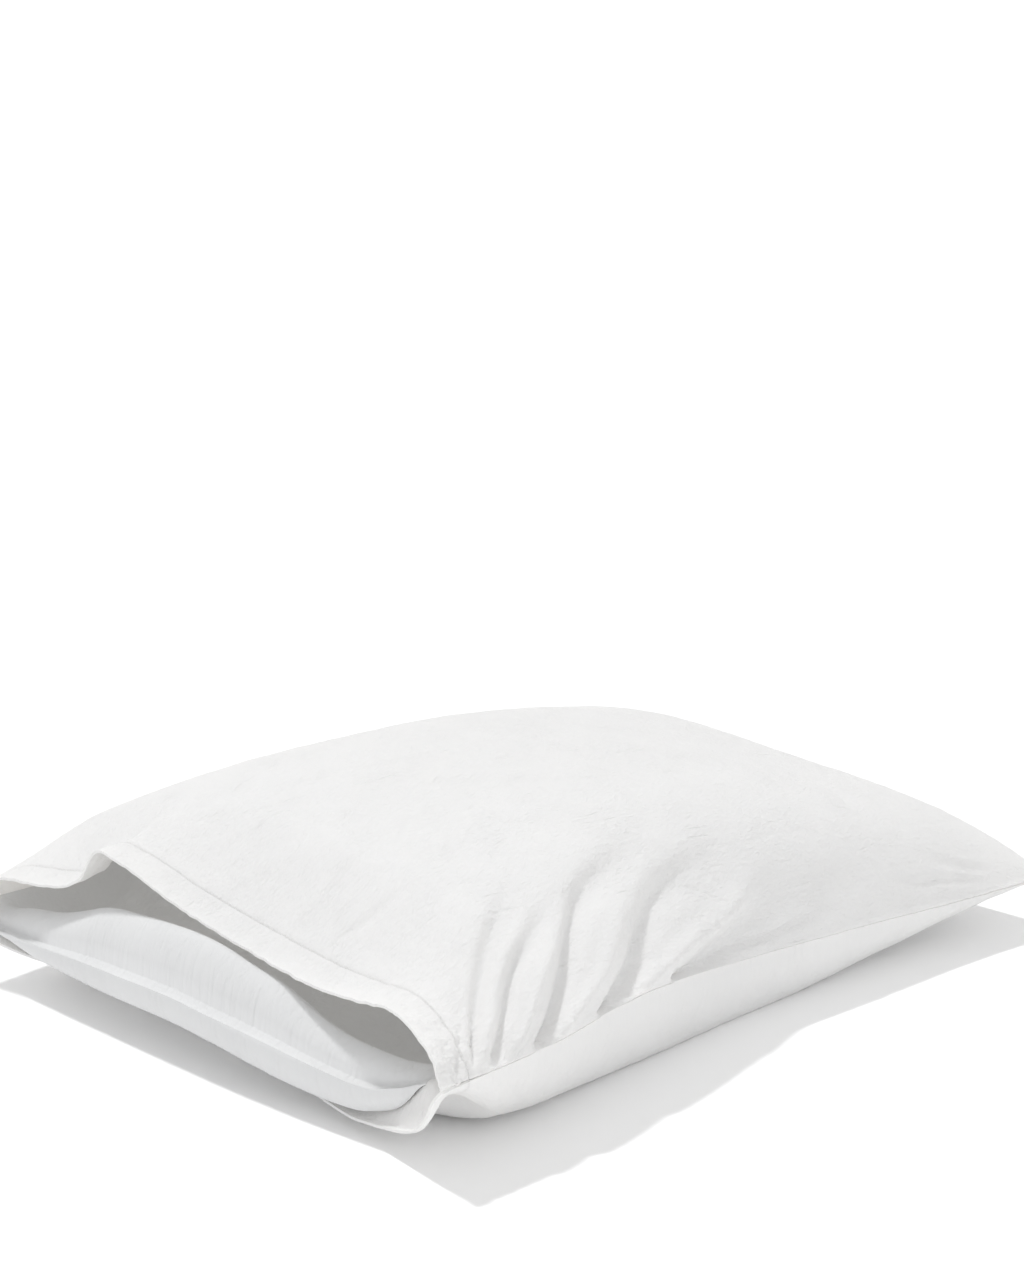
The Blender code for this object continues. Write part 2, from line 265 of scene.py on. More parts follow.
def foldHeights(x, y, folds):
    # each row: its line from foot to head, how high it stands (below 0 for a trough), its half width
    # at the foot and at the head, and the parts of its length over which it rises and dies away;
    # seamSide widens the side that looks to the near seam, and sharp gives it a creased top
    total = np.zeros_like(x)
    for fold in folds:
        line = smoothPath(fold["line"])
        reach = 3.5 * max(fold["foot"], fold["head"])    # past this it has no effect
        near = ((x > line[:, 0].min() - reach) & (x < line[:, 0].max() + reach)
                & (y > line[:, 1].min() - reach) & (y < line[:, 1].max() + reach))
        px, py = x[near], y[near]
        steps = np.hypot(*np.diff(line, axis=0).T)
        run = np.append(0, np.cumsum(steps)) / steps.sum()
        nearest = np.full(px.shape, np.inf)
        side = np.zeros_like(px)
        place = np.zeros_like(px)
        for i, length in enumerate(steps):
            ax, ay = line[i]
            dx, dy = (line[i + 1] - line[i]) / length
            t = np.clip((px - ax) * dx + (py - ay) * dy, 0, length)
            gapX = px - ax - dx * t
            gapY = py - ay - dy * t
            gap = np.hypot(gapX, gapY)
            closer = gap < nearest
            nearest = np.where(closer, gap, nearest)
            side = np.where(closer, np.sign(gapX * dy - gapY * dx), side)
            place = np.where(closer, run[i] + (run[i + 1] - run[i]) * t / length, place)
        width = fold["foot"] + (fold["head"] - fold["foot"]) * place
        width = width * np.where(side < 0, fold.get("seamSide", 1.0), 1.0)
        strength = ease(place / fold["rise"]) * ease((1 - place) / fold["fade"])
        if fold.get("sharp"):
            profile = np.exp(-nearest / width)
        else:
            profile = np.exp(-((nearest / width) ** 2))
        total[near] += fold["height"] * strength * profile
    return total


def softWaves(x, y, size, seed):
    # smooth uneven waves about this size across, from -1 to 1
    rng = np.random.default_rng(seed)
    cells = 256
    angles = rng.uniform(0, 2 * math.pi, (cells, cells))
    gx, gy = x / size + 100, y / size + 100    # away from the table's edge
    ix, iy = np.floor(gx).astype(int), np.floor(gy).astype(int)
    fx, fy = gx - ix, gy - iy
    sx, sy = ease(fx), ease(fy)

    def corner(dx, dy):
        angle = angles[(ix + dx) % cells, (iy + dy) % cells]
        return np.cos(angle) * (fx - dx) + np.sin(angle) * (fy - dy)

    low = corner(0, 0) * (1 - sx) + corner(1, 0) * sx
    high = corner(0, 1) * (1 - sx) + corner(1, 1) * sx
    return 1.5 * (low * (1 - sy) + high * sy)


def crumple(x, y, size, seed):
    # creased waves: soft hollows between narrow rises
    bend, bendSize = size * crumpleShape["bend"], size * crumpleShape["bendSize"]
    bentX = x + bend * softWaves(x, y, bendSize, seed + 1)
    bentY = y + bend * softWaves(x, y, bendSize, seed + 2)
    return 1 - 2 * np.sqrt(np.abs(softWaves(bentX, bentY, size, seed)) + crumpleShape["blunt"])


def spacedPlaces(bands):
    # places along a line, each band as (end, count) with even spacing inside it
    places = [bands[0][0]]
    for end, count in bands[1:]:
        places += list(np.linspace(places[-1], end, count + 1)[1:])
    return np.array(places)


def smoothSteps(places, rounds=12):
    # evens out the change of spacing between bands
    gaps = np.diff(places)
    for _ in range(rounds):
        gaps[1:-1] = (gaps[:-2] + 2 * gaps[1:-1] + gaps[2:]) / 4
    return places[0] + np.append(0, np.cumsum(gaps)) * (places[-1] - places[0]) / gaps.sum()


def surfaceNormals(points):
    across = np.gradient(points, axis=0)
    along = np.gradient(points, axis=1)
    normals = np.cross(across, along)
    return normals / np.linalg.norm(normals, axis=2, keepdims=True)


def clothLength(points):
    # length of cloth across each row, from its first column
    steps = np.linalg.norm(np.diff(points, axis=0), axis=2)
    return np.vstack((np.zeros((1, points.shape[1])), np.cumsum(steps, axis=0)))


def turnIn(points):
    # the cloth's edge turns inwards at both sides and at the far end
    points[0, :, 0] += case["seamTuck"]
    points[-1, :, 0] -= case["seamTuck"]
    points[:, -1, 1] -= case["seamTuck"]


def sheetFromGrid(name, points, uv, thickness):
    # points and uv are [across, along]; thickness is a part of the hem's, for each point
    bpy.ops.object.select_all(action="DESELECT")
    columns, rows = points.shape[:2]
    bpy.ops.mesh.primitive_grid_add(x_subdivisions=columns - 1, y_subdivisions=rows - 1, size=2)
    sheet = bpy.context.object
    sheet.name = name
    sheet.data.name = name
    flat = np.empty(columns * rows * 3)
    sheet.data.vertices.foreach_get("co", flat)
    flat = flat.reshape(-1, 3)
    column = np.rint((flat[:, 0] + 1) / 2 * (columns - 1)).astype(int)
    row = np.rint((flat[:, 1] + 1) / 2 * (rows - 1)).astype(int)
    sheet.data.vertices.foreach_set("co", points[column, row].ravel())
    corners = np.empty(len(sheet.data.loops), dtype=int)
    sheet.data.loops.foreach_get("vertex_index", corners)
    sheet.data.uv_layers.active.data.foreach_set("uv", uv[column, row][corners].ravel())
    group = sheet.vertex_groups.new(name="layers")
    for index, share in enumerate(thickness[column, row]):
        group.add([index], float(share), "REPLACE")
    sheet.data.update()
    return sheet


def applyModifier(piece, modifier):
    bpy.ops.object.select_all(action="DESELECT")
    bpy.context.view_layer.objects.active = piece
    piece.select_set(True)
    bpy.ops.object.modifier_apply(modifier=modifier.name)


def giveThickness(sheet):
    solid = sheet.modifiers.new("cloth", "SOLIDIFY")
    solid.thickness = case["hemCloth"]
    solid.offset = -1
    solid.vertex_group = "layers"
    applyModifier(sheet, solid)
    bpy.ops.object.shade_smooth_by_angle(angle=math.radians(case["smoothAngle"]))


def layerShare(fromMouth):
    # thickness of the cloth as a part of the hem's
    single = case["cloth"] / case["hemCloth"]
    hemEnd = case["hemWidth"] + case["hemStep"]
    return single + (1 - single) * ease((hemEnd - fromMouth) / case["hemStep"])


topPanelLook = {
    # (end, cells) of each band: across from -1 to 1, and metres from the mouth
    "columns": [(-1, 0), (-0.93, 14), (-0.55, 26), (0.15, 52), (0.62, 44), (0.95, 46), (1, 12)],
    "rows": [(0, 0), (0.030, 24), (0.12, 46), (0.30, 78), (0.50, 54), (0.612, 26), (0.6355, 12)],
    "edgeRoom": 0.012,       # crumples fade over this towards the seams
    "crumple": {"height": 0.0003, "size": 0.040, "seed": 3},
    "crinkle": {"height": 0.00022, "size": 0.014, "seed": 7},
    # fine creases that run with the gathers, over this much of the cloth up from the seam and this far
    # along; across and with turn (cloth length, y) into a place across them and one along them
    "gatherCrease": {"height": 0.0006, "size": 0.009, "seed": 15, "up": 0.13, "upFade": 0.08,
                     "along": 0.05, "alongFade": 0.10, "across": (1.6, -0.9), "with": (0.2, 0.35)},
    "seamPucker": {"height": 0.0014, "size": 0.0075, "seed": 19, "reach": 0.011, "stretch": 0.3,
                   "along": 0.02, "alongFade": 0.12},
    "cornerPucker": {"height": 0.0013, "size": 0.0075, "seed": 27, "reach": 0.055, "slant": 0.4,
                     "fromHem": 0.042, "fromHemFade": 0.014, "edgeFade": 0.006},
    "hemPucker": {"height": 0.0009, "size": 0.0085, "seed": 11, "slant": 0.5, "stretch": 0.35,
                  "fromHem": 0.036, "fromHemFade": 0.016},
    "stitchGroove": {"depth": 0.0004, "width": 0.0013},
    "seamGrip": {"height": 0.0008, "place": 0.0022, "width": 0.0014},    # a rise beside the seam
}

# gathers fanning up from the near side seam, each point as (cloth length from the seam, y):
# troughs, then the ridges between them, then the ledge and soft wrinkles towards the far corner
gathers = [
    {"line": [(0.003, -0.306), (0.024, -0.290), (0.042, -0.274), (0.059, -0.256)],
     "height": -0.0022, "foot": 0.0020, "head": 0.004, "rise": 0.10, "fade": 0.6},
    {"line": [(0.004, -0.290), (0.017, -0.283), (0.038, -0.267), (0.063, -0.244), (0.082, -0.222),
              (0.101, -0.192), (0.124, -0.158)],
     "height": -0.0068, "foot": 0.0024, "head": 0.008, "rise": 0.12, "fade": 0.5, "seamSide": 1.4},
    {"line": [(0.002, -0.277), (0.016, -0.262), (0.032, -0.246), (0.047, -0.232), (0.061, -0.212),
              (0.075, -0.184), (0.090, -0.150)],
     "height": -0.0064, "foot": 0.0024, "head": 0.008, "rise": 0.08, "fade": 0.5, "seamSide": 1.4},
    {"line": [(0.001, -0.243), (0.009, -0.225), (0.021, -0.208), (0.036, -0.190), (0.053, -0.170),
              (0.069, -0.150), (0.084, -0.123), (0.094, -0.084), (0.106, -0.050), (0.120, -0.020)],
     "height": -0.0090, "foot": 0.0025, "head": 0.013, "rise": 0.07, "fade": 0.5, "seamSide": 1.6},
    {"line": [(0.000, -0.183), (0.004, -0.165), (0.014, -0.142), (0.025, -0.122), (0.038, -0.106),
              (0.057, -0.077), (0.068, -0.040), (0.074, 0.003), (0.082, 0.050)],
     "height": -0.0086, "foot": 0.0020, "head": 0.016, "rise": 0.09, "fade": 0.5, "seamSide": 1.7},
    {"line": [(0.001, -0.098), (0.007, -0.062), (0.015, -0.031), (0.024, -0.003), (0.036, 0.018),
              (0.051, 0.040), (0.072, 0.078)],
     "height": -0.0086, "foot": 0.0026, "head": 0.012, "rise": 0.08, "fade": 0.5, "seamSide": 2.0},
    {"line": [(0.007, -0.283), (0.033, -0.258), (0.053, -0.239), (0.068, -0.216), (0.084, -0.188),
              (0.100, -0.160)],
     "height": 0.0024, "foot": 0.003, "head": 0.006, "rise": 0.12, "fade": 0.7},
    {"line": [(0.004, -0.258), (0.016, -0.241), (0.031, -0.222), (0.049, -0.199), (0.069, -0.168),
              (0.089, -0.136)],
     "height": 0.0040, "foot": 0.003, "head": 0.007, "rise": 0.10, "fade": 0.6},
    {"line": [(0.003, -0.221), (0.011, -0.197), (0.020, -0.171), (0.034, -0.144), (0.053, -0.120),
              (0.066, -0.096), (0.079, -0.063)],
     "height": 0.0050, "foot": 0.004, "head": 0.009, "rise": 0.10, "fade": 0.6},
    {"line": [(0.001, -0.161), (0.004, -0.134), (0.010, -0.108), (0.019, -0.074), (0.030, -0.026),
              (0.040, 0.014), (0.059, 0.046), (0.080, 0.080)],
     "height": 0.0062, "foot": 0.0045, "head": 0.012, "rise": 0.14, "fade": 0.45},
    {"line": [(0.001, -0.047), (0.008, -0.034), (0.012, 0.000), (0.013, 0.033), (0.016, 0.064),
              (0.017, 0.115)],
     "height": -0.0022, "foot": 0.0022, "head": 0.006, "rise": 0.04, "fade": 0.5},
    {"line": [(0.010, 0.000), (0.022, 0.055), (0.032, 0.110), (0.040, 0.175)],
     "height": -0.0036, "foot": 0.014, "head": 0.024, "rise": 0.3, "fade": 0.4},
    {"line": [(0.001, 0.104), (0.005, 0.113), (0.011, 0.121)],
     "height": 0.0010, "foot": 0.0016, "head": 0.0022, "rise": 0.2, "fade": 0.5},
    {"line": [(0.132, 0.168), (0.112, 0.173), (0.092, 0.171), (0.075, 0.168)],
     "height": -0.0016, "foot": 0.006, "head": 0.005, "rise": 0.4, "fade": 0.4},
    {"line": [(0.040, 0.185), (0.036, 0.200), (0.025, 0.232), (0.013, 0.268)],
     "height": -0.0014, "foot": 0.005, "head": 0.003, "rise": 0.4, "fade": 0.3},
    {"line": [(0.024, 0.150), (0.022, 0.164), (0.017, 0.216), (0.007, 0.265)],
     "height": -0.0016, "foot": 0.005, "head": 0.003, "rise": 0.4, "fade": 0.3},
]
# lines pressed into the cloth where it was folded flat, each point as (x, y)
pressedFolds = [
    {"line": [(-0.139, -0.250), (-0.096, -0.223), (-0.079, -0.173), (-0.048, -0.113), (-0.020, 0.020),
              (0.000, 0.180)],
     "height": 0.0008, "foot": 0.004, "head": 0.004, "rise": 0.1, "fade": 0.6},
    {"line": [(-0.048, -0.113), (-0.024, -0.106), (0.033, -0.110), (0.118, -0.124), (0.136, -0.122)],
     "height": 0.0008, "foot": 0.004, "head": 0.004, "rise": 0.1, "fade": 0.3},
    {"line": [(-0.160, -0.120), (-0.110, -0.112), (-0.060, -0.113)],
     "height": 0.0007, "foot": 0.004, "head": 0.004, "rise": 0.4, "fade": 0.2},
    {"line": [(-0.078, -0.255), (-0.052, -0.230), (-0.036, -0.196)],
     "height": 0.0010, "foot": 0.003, "head": 0.005, "rise": 0.3, "fade": 0.5, "sharp": True},
    {"line": [(-0.024, -0.262), (-0.008, -0.236), (0.022, -0.214)],
     "height": 0.0013, "foot": 0.003, "head": 0.005, "rise": 0.3, "fade": 0.5, "sharp": True},
    {"line": [(0.042, -0.264), (0.052, -0.236), (0.044, -0.198)],
     "height": 0.0015, "foot": 0.003, "head": 0.006, "rise": 0.3, "fade": 0.5, "sharp": True},
    {"line": [(0.058, -0.226), (0.088, -0.206), (0.124, -0.204)],
     "height": 0.0013, "foot": 0.004, "head": 0.006, "rise": 0.3, "fade": 0.5, "sharp": True},
    {"line": [(0.084, -0.262), (0.104, -0.240), (0.116, -0.212)],
     "height": -0.0014, "foot": 0.003, "head": 0.006, "rise": 0.3, "fade": 0.5},
]


def caseGrid(look):
    # part across and place along the case for each point of a panel's grid
    u = smoothSteps(spacedPlaces(look["columns"]))
    fromMouth = smoothSteps(spacedPlaces(look["rows"]), rounds=6)
    u, v = np.meshgrid(u, fromMouth / fromMouth[-1], indexing="ij")
    y = mouthLine(u) + (endLine(u) - mouthLine(u)) * v
    return u, u * section("halfWidth", y), y


def within(gap, width):
    # 1 at the middle, fading to 0 on both sides
    return np.exp(-((gap / width) ** 2))


def beside(distance, effect, end, fade):
    # 1 up to where an effect fades out over the last of its length
    return ease((effect[end] - distance) / effect[fade])


def waves(effect, pattern, x, y):
    # the height of an effect's waves, soft or crumpled
    return effect["height"] * pattern(x, y, effect["size"], effect["seed"])


def makeTopPanel():
    look = topPanelLook
    u, x, y = caseGrid(look)
    points = np.dstack((x, y, topForm(u, y)))
    fromHem = y - mouthLine(u)
    fromEnd = endLine(u) - y
    across = clothLength(points)
    fromNear = across[-1] - across
    fromSide = np.minimum(fromNear, across)
    inset = ease(np.minimum(fromSide, fromEnd) / look["edgeRoom"])

    lift = foldHeights(fromNear, y, gathers) + foldHeights(x, y, pressedFolds)
    lift += waves(look["crumple"], crumple, x, y) * inset
    lift += waves(look["crinkle"], crumple, across, y) * inset

    crease = look["gatherCrease"]
    gathered = beside(fromNear, crease, "up", "upFade") * beside(y, crease, "along", "alongFade")
    turned = [fromNear * crease[name][0] + y * crease[name][1] for name in ("across", "with")]
    lift += waves(crease, crumple, *turned) * gathered * inset

    pucker = look["seamPucker"]
    nearSeam = within(fromNear, pucker["reach"]) * beside(y, pucker, "along", "alongFade")
    lift += waves(pucker, softWaves, y, fromNear * pucker["stretch"]) * nearSeam

    pucker = look["cornerPucker"]
    atCorner = within(fromNear, pucker["reach"]) * beside(fromHem, pucker, "fromHem", "fromHemFade")
    atCorner = atCorner * ease(fromHem / pucker["edgeFade"])
    lift += waves(pucker, crumple, fromNear, y + fromNear * pucker["slant"]) * atCorner

    pucker = look["hemPucker"]
    hemBand = beside(fromHem, pucker, "fromHem", "fromHemFade") * inset
    slanted = across + fromHem * pucker["slant"]
    lift += waves(pucker, softWaves, slanted, fromHem * pucker["stretch"]) * hemBand

    groove, grip = look["stitchGroove"], look["seamGrip"]
    lift -= groove["depth"] * within(fromHem - case["hemWidth"], groove["width"])
    lift += grip["height"] * within(fromSide - grip["place"], grip["width"])

    normals = surfaceNormals(points)
    points += normals * (lift * ease(fromSide / grip["place"]))[..., None]
    thickness = case["hemCloth"] * layerShare(fromHem) * np.maximum(normals[..., 2], 0)
    lowest = seamHeight(y) + case["seamGap"] / 2 + thickness
    points[..., 2] = np.maximum(points[..., 2], lowest)
    turnIn(points)
    uv = np.dstack((across - across[len(u) // 2], fromHem))
    panel = sheetFromGrid("topPanel", points, uv, layerShare(fromHem))
    giveThickness(panel)
    print("top panel made:", len(panel.data.polygons), "faces")
    return panel


bottomPanelLook = {
    "columns": [(-1, 0), (-0.90, 14), (0.40, 50), (0.88, 34), (1, 22)],
    "rows": [(0, 0), (0.030, 20), (0.12, 40), (0.45, 66), (0.612, 24), (0.6355, 10)],
    "sideLength": 0.24,      # of cloth from the middle to a side
    "edgeRoom": 0.010,
    "crumple": {"height": 0.0005, "size": 0.05, "seed": 21, "clearOfFloor": 0.02},
    "seamPucker": {"height": 0.0008, "size": 0.0065, "seed": 23, "reach": 0.010, "stretch": 0.2,
                   "edgeFade": 0.0022, "along": -0.02, "alongFade": 0.16},
    "stitchRidge": {"height": 0.0004, "width": 0.0012},
}


def makeBottomPanel():
    look = bottomPanelLook
    u, x, y = caseGrid(look)
    points = np.dstack((x, y, bottomForm(u, y)))
    fromHem = y - mouthLine(u)
    fromEnd = endLine(u) - y
    fromSide = (1 - np.abs(u)) * look["sideLength"]
    inset = ease(np.minimum(fromSide, fromEnd) / look["edgeRoom"])

    aboveFloor = ease(points[..., 2] / look["crumple"]["clearOfFloor"])
    lift = waves(look["crumple"], crumple, x, y) * inset * aboveFloor
    ridge = look["stitchRidge"]
    lift += ridge["height"] * within(fromHem - case["hemWidth"], ridge["width"]) * inset
    pucker = look["seamPucker"]
    nearSeam = within(fromSide, pucker["reach"]) * ease(fromSide / pucker["edgeFade"])
    nearSeam = nearSeam * beside(y, pucker, "along", "alongFade")
    lift -= waves(pucker, softWaves, y, fromSide * pucker["stretch"]) * nearSeam

    normals = surfaceNormals(points)
    points += normals * lift[..., None]
    thickness = case["hemCloth"] * layerShare(fromHem) * np.maximum(normals[..., 2], 0)
    highest = seamHeight(y) - case["seamGap"] / 2 - thickness
    points[..., 2] = np.clip(points[..., 2], 0, highest)
    turnIn(points)
    # the sheet's outer face is underneath, so its columns run the other way
    uv = np.dstack((x, fromHem))
    panel = sheetFromGrid("bottomPanel", points[::-1], uv[::-1], layerShare(fromHem)[::-1])
    giveThickness(panel)
    print("bottom panel made:", len(panel.data.polygons), "faces")
    return panel


pillowLook = {
    "columns": 190,
    "rows": 150,
    "rim": 0.9999,           # a grid runs from -1 to 1, and past this it is at its sewn edge
    "mergeGap": 0.00002,     # its two halves are joined where their points are this near
    "edgeY": -0.312,         # its sewn end edge at mid width
    "edgeDraw": 0.014,       # drawn back towards its near corner
    "hiddenDraw": 0.002,     # and towards its hidden one
    "shift": 0.008,          # its end lies towards the hidden corner
    "sideRoom": 0.016,       # from the case's seam to its sides
    "nearCornerRoom": 0.011,  # more room at the near corner of the mouth, beside its plump ear
    "endRoom": 0.018,        # from the case's seam to its far end
    "browRun": 0.022,        # from the sewn edge to where the end face turns over
    "dipStart": 0.017,       # its top sinks from here
    "dipEnd": 0.052,         # to here
    "dip": 0.034,            # by this, the hollow behind the brow
    "nearDip": 0.018,        # which is this much deeper at the near side
    "nearDipRun": 0.100,     # this far from the middle
    "bodyRun": 0.165,        # from there its edge lies along the case's seam
    "fillStart": 0.100,      # its top rises out of the hollow from here
    "fillEnd": 0.230,        # and fills the case from here
    "bead": 0.0022,          # the rounded sewn edge stands out
    "beadRun": 0.0016,
    "valley": 0.0045,        # the end face dips in just above it
    "valleyRise": 0.10,      # and has come up by this part of its height there
    "chinRun": 0.005,        # from the sewn edge to the lowest part of its end's underside
    "chinFade": 0.045,       # and to where the underside lies in the case
    "freeSlope": 0.12,       # its underside leaves the bottom panel by this part of its height
    "mouthSlope": 0.02,      # and by this at its end
    "edgeLift": 0.003,       # and by this much more towards its sides and its far part
    "liftStart": 0.09,
    "liftRun": 0.07,
    "shoulderGap": 0.005,    # its shoulders stay this far under the top panel
    "contactGap": 0.0008,    # from the case's cloth
    "leastDepth": 0.004,     # the hollow stays this far above its underside
    "underTroughs": 1.7,     # the pillow gives way more under the gathers' troughs
    "sideRound": (8.0, 0.5),
    "endRound": (2.0, 0.5),
    "roundStart": 0.8,       # its far end is rounded from this part of its length
}
# its end in the mouth: the sewn edge, the brow where its face turns over, its underside
pillowEnd = table(("across", "edge", "brow", "chin"), [
    (-0.2410, 0.0560, 0.0590, 0.0550),
    (-0.2300, 0.0440, 0.0550, 0.0420),
    (-0.1990, 0.0400, 0.0585, 0.0320),
    (-0.1650, 0.0412, 0.0630, 0.0262),
    (-0.1370, 0.0432, 0.0715, 0.0250),
    (-0.1100, 0.0447, 0.0810, 0.0240),
    (-0.0770, 0.0457, 0.0850, 0.0238),
    (-0.0140, 0.0470, 0.0885, 0.0247),
    (0.0150, 0.0455, 0.0865, 0.0228),
    (0.0430, 0.0445, 0.0815, 0.0200),
    (0.0700, 0.0430, 0.0770, 0.0180),
    (0.0870, 0.0417, 0.0710, 0.0168),
    (0.1120, 0.0394, 0.0620, 0.0155),
    (0.1340, 0.0376, 0.0575, 0.0150),
    (0.1530, 0.0362, 0.0560, 0.0155),
    (0.1710, 0.0370, 0.0560, 0.0195),
    (0.1860, 0.0420, 0.0575, 0.0235),
    (0.1970, 0.0460, 0.0605, 0.0280),
    (0.2060, 0.0500, 0.0610, 0.0340),
    (0.2150, 0.0525, 0.0580, 0.0420),
])


def pillowHalf(a, b, upper):
    look = pillowLook
    u = np.sin(a * math.pi / 2)
    near = look["edgeY"] + np.where(u > 0, look["edgeDraw"], look["hiddenDraw"]) * u * u
    far = endLine(u) - look["endRoom"]
    run = (far - near) * (1 - np.cos((b + 1) * math.pi / 2)) / 2
    y = near + run
    half = section("halfWidth", y)
    x = u * (half - look["sideRoom"])
    x -= (look["shift"] + look["nearCornerRoom"] * ease(u)) * (1 - ease(run / look["bodyRun"]))
    caseU = x / half
    edge, brow, chin = (curveThrough(pillowEnd, "across", key, x) for key in ("edge", "brow", "chin"))
    middle = edge + (seamHeight(y) - edge) * ease(run / look["bodyRun"])
    farPart = np.maximum(run / (far - near) - look["roundStart"], 0) / (1 - look["roundStart"])
    edgeRound = roundOver(u, *look["sideRound"]) * roundOver(farPart, *look["endRound"])
    caseY = np.maximum(y, mouthLine(caseU))
    inMouth = 1 - ease(run / look["chinFade"])
    slope = 1 + look["freeSlope"] + (look["mouthSlope"] - look["freeSlope"]) * inMouth
    floorHeight = bottomForm(caseU, caseY) * slope + case["hemCloth"] + look["contactGap"]
    lift = np.maximum(1 - ease(run / look["bodyRun"]), ease((y - look["liftStart"]) / look["liftRun"]))
    floorHeight += look["edgeLift"] * np.maximum(lift, u**4) * (1 - inMouth)
    turn = np.minimum(run / look["chinRun"], 1)
    face = edge - (edge - chin) * np.sqrt(np.maximum(1 - (1 - turn) ** 2, 0))
    blend = ease((run - look["chinRun"]) / (look["chinFade"] - look["chinRun"]))
    limit = np.maximum(face + (floorHeight - face) * blend, floorHeight)
    if upper:
        underside = limit
        troughs = np.minimum(foldHeights(fromNearSeam(caseU, caseY), caseY, gathers), 0)
        ceiling = topForm(caseU, caseY) + look["underTroughs"] * troughs
        ceiling -= case["hemCloth"] + look["contactGap"] + look["shoulderGap"] * np.abs(u) ** 3
        start = look["valleyRise"] * ease(run / look["valley"])
        turn = np.clip((run - look["valley"]) / (look["browRun"] - look["valley"]), 0, 1)
        rise = start + (1 - look["valleyRise"]) * np.sqrt(1 - (1 - turn) ** 2)
        face = edge + (brow - edge) * rise
        dip = look["dip"] + look["nearDip"] * ease(x / look["nearDipRun"])
        hollow = face - dip * ease((run - look["dipStart"]) / (look["dipEnd"] - look["dipStart"]))
        filled = ease((run - look["fillStart"]) / (look["fillEnd"] - look["fillStart"]))
        limit = np.minimum(hollow + (ceiling - hollow) * filled, ceiling)
        limit = np.maximum(limit, underside + look["leastDepth"])
    y = y - look["bead"] * within(run, look["beadRun"]) * roundOver(u, *look["sideRound"])
    rim = (np.abs(a) > look["rim"]) | (np.abs(b) > look["rim"])
    z = np.where(rim, middle, middle + (limit - middle) * edgeRound)
    return np.dstack((x, y, z))


def makePillow():
    look = pillowLook
    places = [np.linspace(-1, 1, look[count]) for count in ("columns", "rows")]
    a, b = np.meshgrid(*places, indexing="ij")
    halves = []
    for upper in (False, True):
        points = pillowHalf(a, b, upper)
        uv = np.dstack((points[..., 0], points[..., 1]))
        if not upper:
            points, uv = points[::-1], uv[::-1]
        half = sheetFromGrid("pillowHalf", points, uv, np.ones(a.shape))
        half.vertex_groups.clear()
        halves.append(half)
    bpy.ops.object.select_all(action="DESELECT")
    for half in halves:
        half.select_set(True)
    bpy.context.view_layer.objects.active = halves[1]
    bpy.ops.object.join()
    pillow = bpy.context.object
    pillow.name = "pillowBody"
    bpy.ops.object.mode_set(mode="EDIT")
    bpy.ops.mesh.select_all(action="SELECT")
    bpy.ops.mesh.remove_doubles(threshold=look["mergeGap"])
    bpy.ops.object.mode_set(mode="OBJECT")
    bpy.ops.object.shade_smooth()
    print("pillow made:", len(pillow.data.polygons), "faces")
    return pillow


cottonLook = {
    "color": (0.965, 0.972, 0.985, 1),
    "shadeColor": (0.957, 0.964, 0.977, 1),    # where the cloth is a little deeper in tone
    "roughness": (0.86, 0.96),
    "sheen": 0.10,
    "crinkleSize": 0.0042,
    "crinkleDepth": 0.0011,
    "creaseDepth": 0.0004,
    "thread": 0.0006,
    "threadDepth": 0.00001,
    "through": 0.38,         # share of the light that passes through one layer
    "throughHem": 0.29,      # and through the hem's two
    "throughColor": (0.96, 0.94, 0.905, 1),
    "hemPaintedShade": 0.5,         # painted shade: the doubled hem band is mixed this much towards a grey, to hold down its extra brightness
    # the grey of the hem band's painted shade
    "hemPaintedShadeColor": (0.86, 0.86, 0.86, 1),
    "stitchLength": 0.0030,
    "stitchWidth": 0.0005,
    "stitchDepth": 0.0004,
    "holePaintedShade": 0.3,      # painted shade: the needle holes between stitches are mixed this much towards a darker grey
    # the grey of the painted shade in the needle holes
    "holePaintedShadeColor": (0.62, 0.61, 0.58, 1),
}
tickingLook = {
    "color": (0.735, 0.74, 0.745, 1),
    "shadeColor": (0.71, 0.715, 0.72, 1),
    "roughness": (0.78, 0.90),
    "sheen": 0.06,
    "crinkleSize": 0.0060,
    "crinkleDepth": 0.0009,
    "creaseDepth": 0.0002,
    "thread": 0.0004,
    "threadDepth": 0.000006,
}
# what both cloths share
clothShare = {
    "sheenRoughness": 0.5,
    "specular": 0.3,
    "toneRange": (0.3, 0.7),
    "toneShare": 0.6,        # of the tone from the crinkle's patches, the rest from the thread's slubs
}
# noise patterns, with their sizes along x, y and z as times the crinkle's or the thread's size
crinkleShape = {
    "wide": {"stretch": (1.7, 3.1, 1.0), "detail": 2.0, "distortion": 0.6},      # the creased waves
    "fine": {"stretch": (0.62, 1.05, 1.0), "detail": 3.0, "distortion": 0.4},    # the soft ones
    "patches": {"stretch": (9.0, 12.0, 9.0), "detail": 3.0, "distortion": 0.3},
    "paths": {"stretch": (8.0, 20.0, 8.0), "detail": 1.0, "distortion": 0.9},    # the long creases
    "creaseShare": 1.1,
    "strength": (0.85, 0.3),         # least strength, and what patches add
    "patchRange": (0.35, 0.65),
    "creaseRange": (0.45, 0.6),      # patches where the long creases come in
    "creaseWidth": 0.05,
}
weaveShape = {
    "acrossSlub": {"stretch": (60.0, 2.2, 1.0), "detail": 2.0},
    "alongSlub": {"stretch": (2.2, 60.0, 1.0), "detail": 2.0},
    "slubHeight": 5.0,
}
stitchShape = {
    "edge": (0.6, 1.3),      # a stitch fades out between these parts of its width
    "gap": (0.68, 0.8),      # and ends between these parts of its step
}


